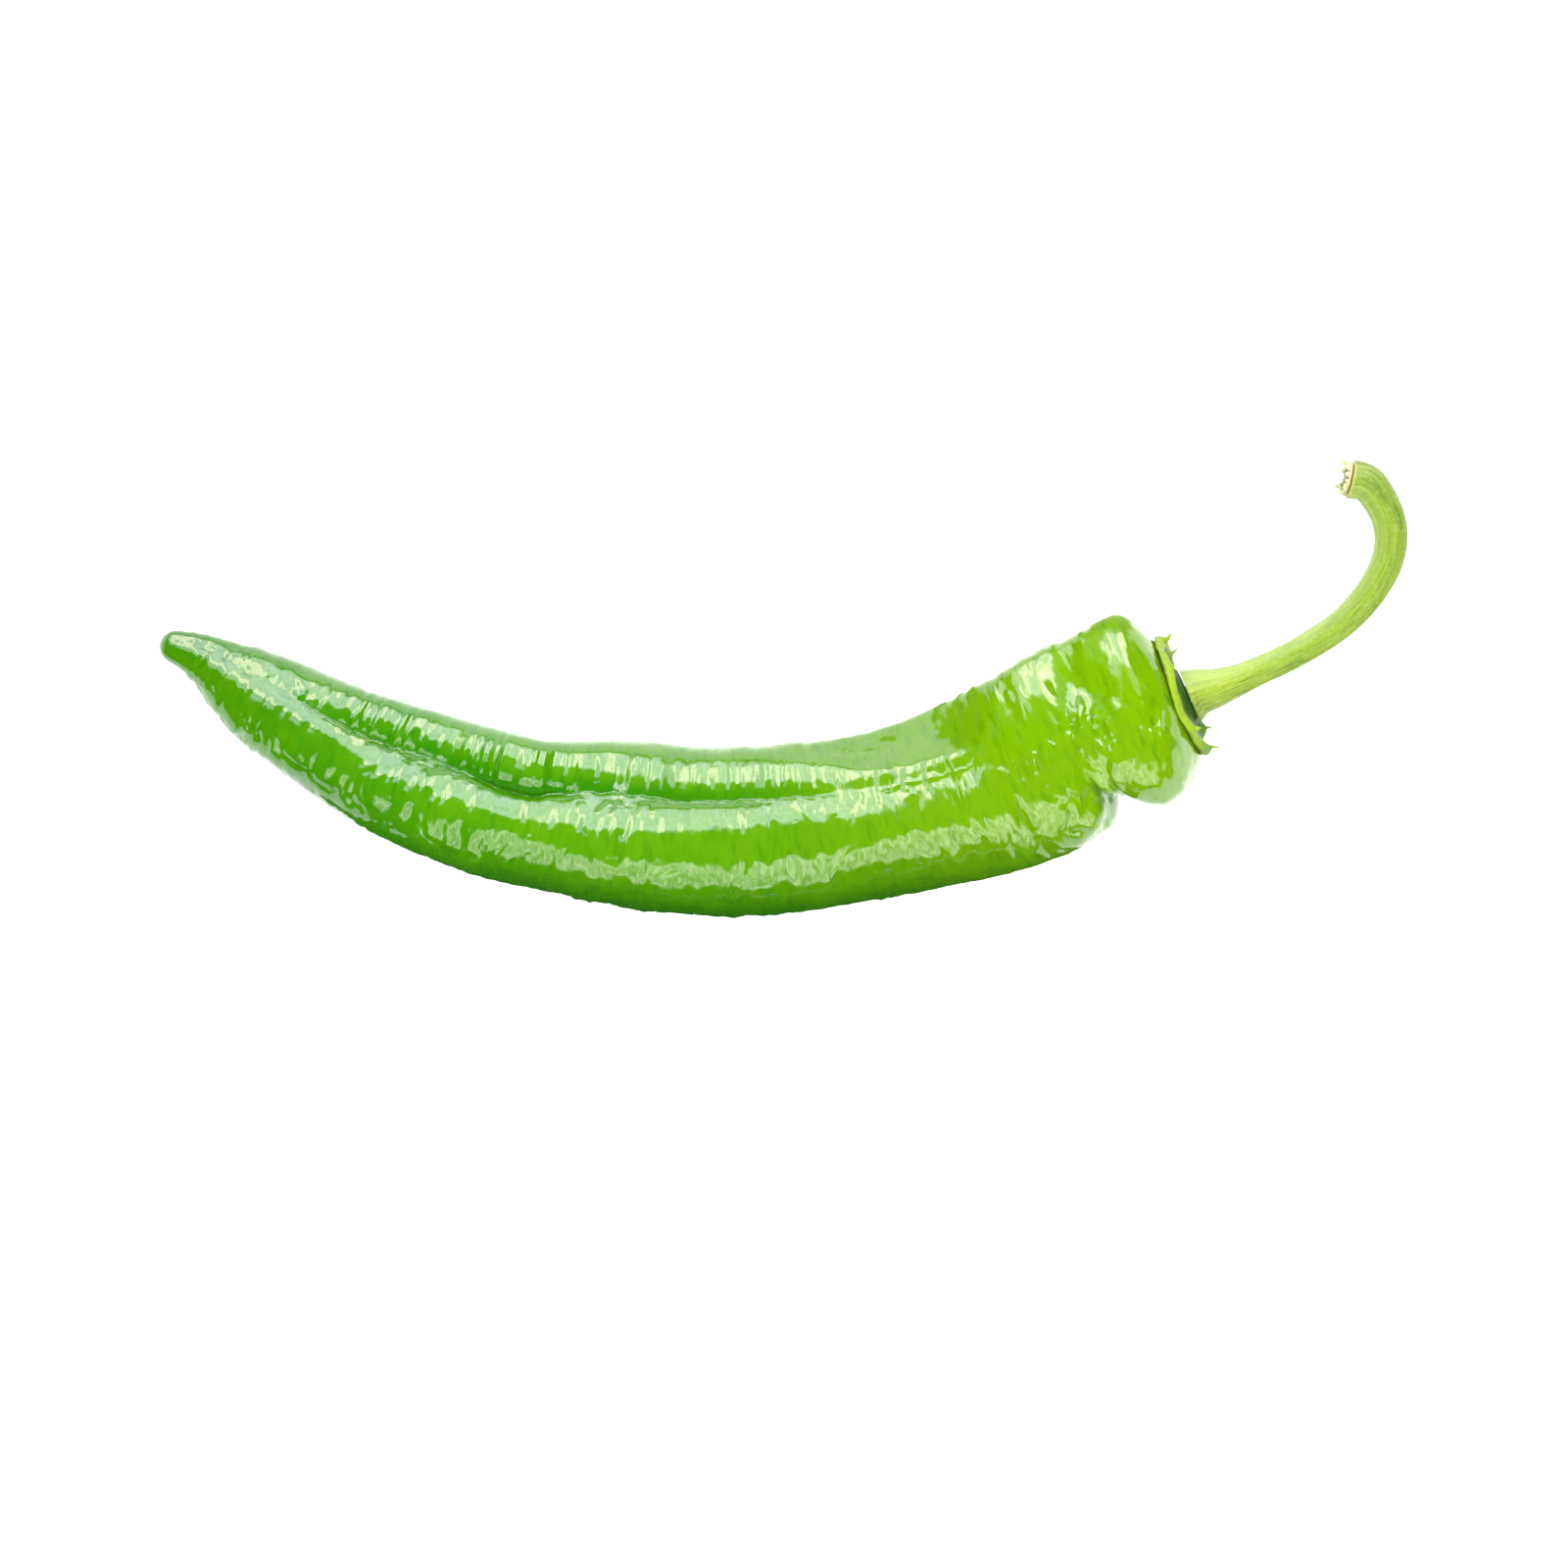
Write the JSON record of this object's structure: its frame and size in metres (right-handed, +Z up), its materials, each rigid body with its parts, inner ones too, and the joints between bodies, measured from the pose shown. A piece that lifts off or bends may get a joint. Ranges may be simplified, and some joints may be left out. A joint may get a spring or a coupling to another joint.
{
  "type": "long sweet pepper",
  "caption": "Long green sweet pepper lying on its side: a bent, pointed, grooved pod with a calyx and a long hooked stem.",
  "frame": {"origin": "on the surface that the pepper lies on, under the middle of its box", "axes": "+X from the pod's tip to the stem, +Y towards the hollow side of the bend, +Z up from the surface"},
  "size_m": [0.2159, 0.0782, 0.0317],
  "materials": {
    "pod_skin": "glossy waxy skin",
    "calyx_green": "satin plant tissue",
    "stem_green": "satin, finely ridged",
    "torn_tissue": "dry torn fibre"
  },
  "bodies": {
    "root": {"pod": "pod_skin", "calyx": "calyx_green", "stem": "stem_green", "stem_torn_end": "torn_tissue"}
  },
  "joints": []
}
